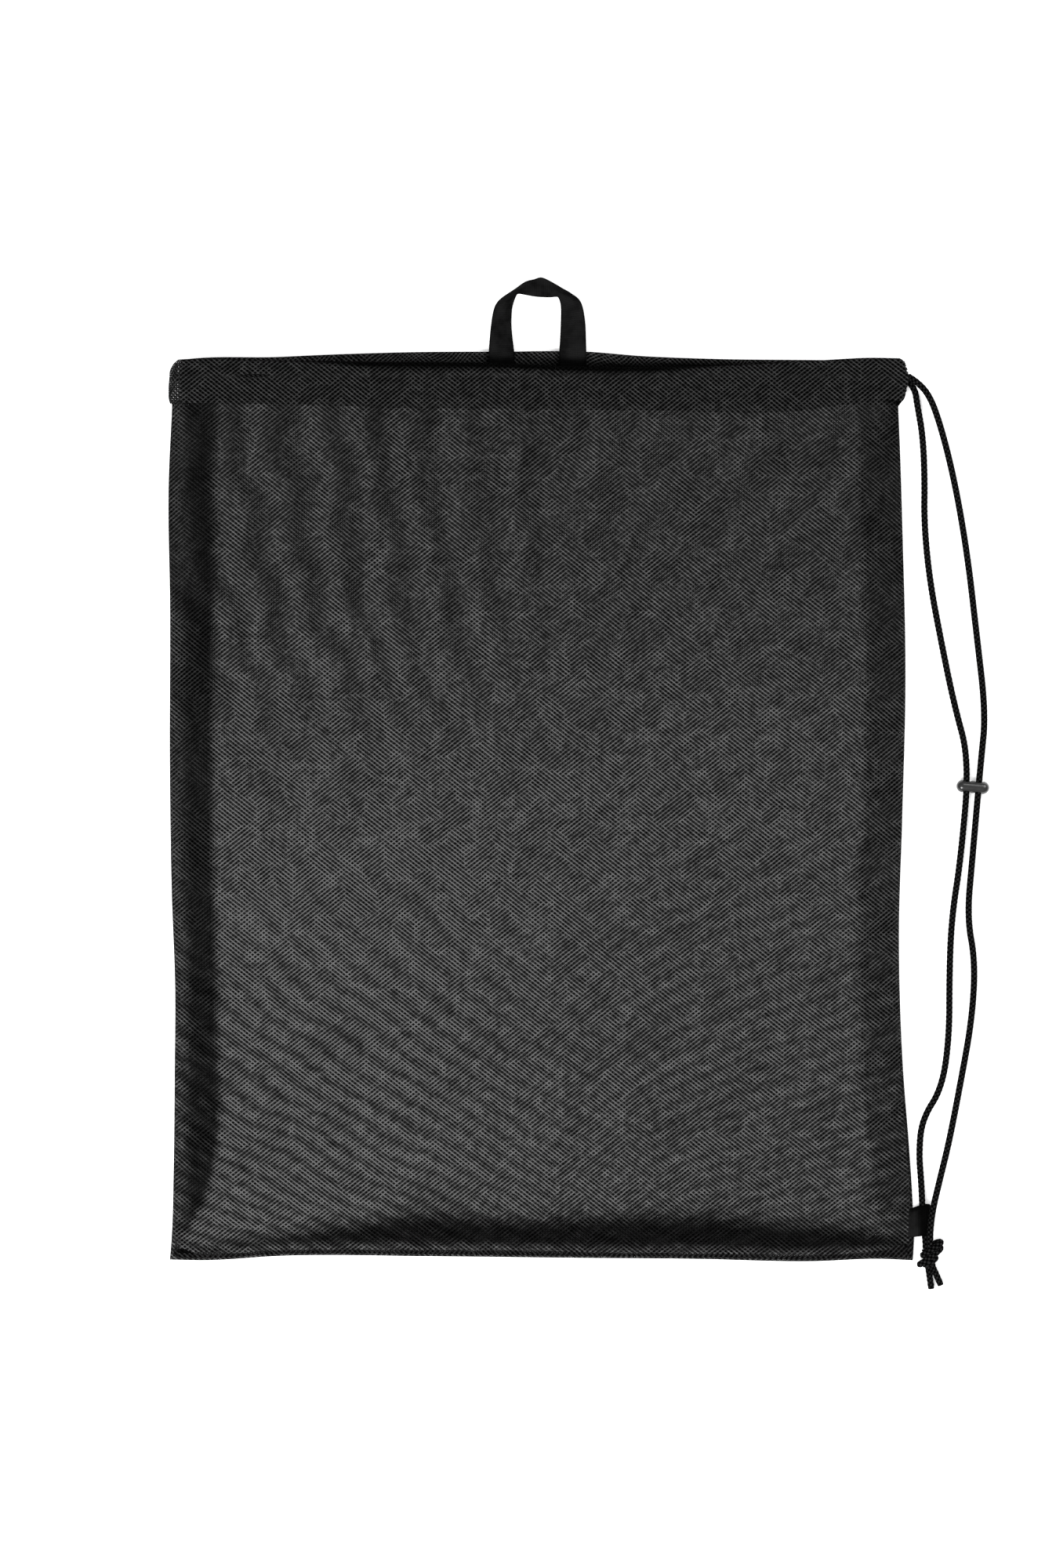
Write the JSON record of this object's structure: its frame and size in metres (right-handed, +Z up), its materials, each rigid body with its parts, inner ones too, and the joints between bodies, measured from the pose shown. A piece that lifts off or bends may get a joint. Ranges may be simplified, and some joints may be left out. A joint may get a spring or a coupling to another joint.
{
  "type": "mesh laundry bag",
  "caption": "Flat drawstring bag of open mesh with a corded casing along its mouth, a hanging loop of webbing, a sliding cord bead and a corner tab.",
  "frame": {"origin": "on the surface the bag lies on, under the middle of the bag with its loop and tab", "axes": "+X across the bag towards the side where the cord comes out, +Y towards the mouth and the hanging loop, +Z up from the surface through the front panel"},
  "size_m": [0.4993, 0.6164, 0.021],
  "materials": {
    "mesh": "matt black polyester mesh",
    "casing": "matt black polyester mesh, folded",
    "thread": "black sewing thread",
    "webbing": "black woven tape",
    "cord": "black braided cord",
    "bead": "glossy dark grey plastic"
  },
  "bodies": {
    "bag": {"back_panel": "mesh", "left_seam_allowance": "mesh", "right_seam_allowance": "mesh", "bottom_seam_allowance": "mesh", "back_casing": "casing", "casing_turn": "casing", "left_seam_thread": "thread", "right_seam_thread": "thread", "bottom_seam_thread": "thread", "back_hem_thread": "thread", "loop_tacks": "thread", "tab_stitch": "thread", "loop_left_tail": "webbing", "loop_right_tail": "webbing", "cord_tab": "webbing", "drawcord_back_run": "cord", "drawcord_turn": "cord", "drawcord_left_strand": "cord", "drawcord_right_strand": "cord", "cord_knot": "cord"},
    "front_side": {"front_panel": "mesh", "front_casing": "casing", "front_hem_thread": "thread", "drawcord_front_run": "cord"},
    "loop": {"hanging_loop": "webbing"},
    "stopper": {"cord_stopper": "bead"}
  },
  "joints": [
    {"name": "mouth_open", "type": "hinge", "parent": "bag", "child": "front_side", "pos_m": [0, -0.2997, 0.0011], "axis": [1, 0, 0], "range_deg": [0, 8]},
    {"name": "loop_lift", "type": "hinge", "parent": "bag", "child": "loop", "pos_m": [-0.007, 0.2548, 0.00765], "axis": [1, 0, 0], "range_deg": [0, 100]},
    {"name": "stopper_slide", "type": "slide", "parent": "bag", "child": "stopper", "axis": [-0.0872, -0.9962, 0], "range_m": [0, 0.034]}
  ]
}
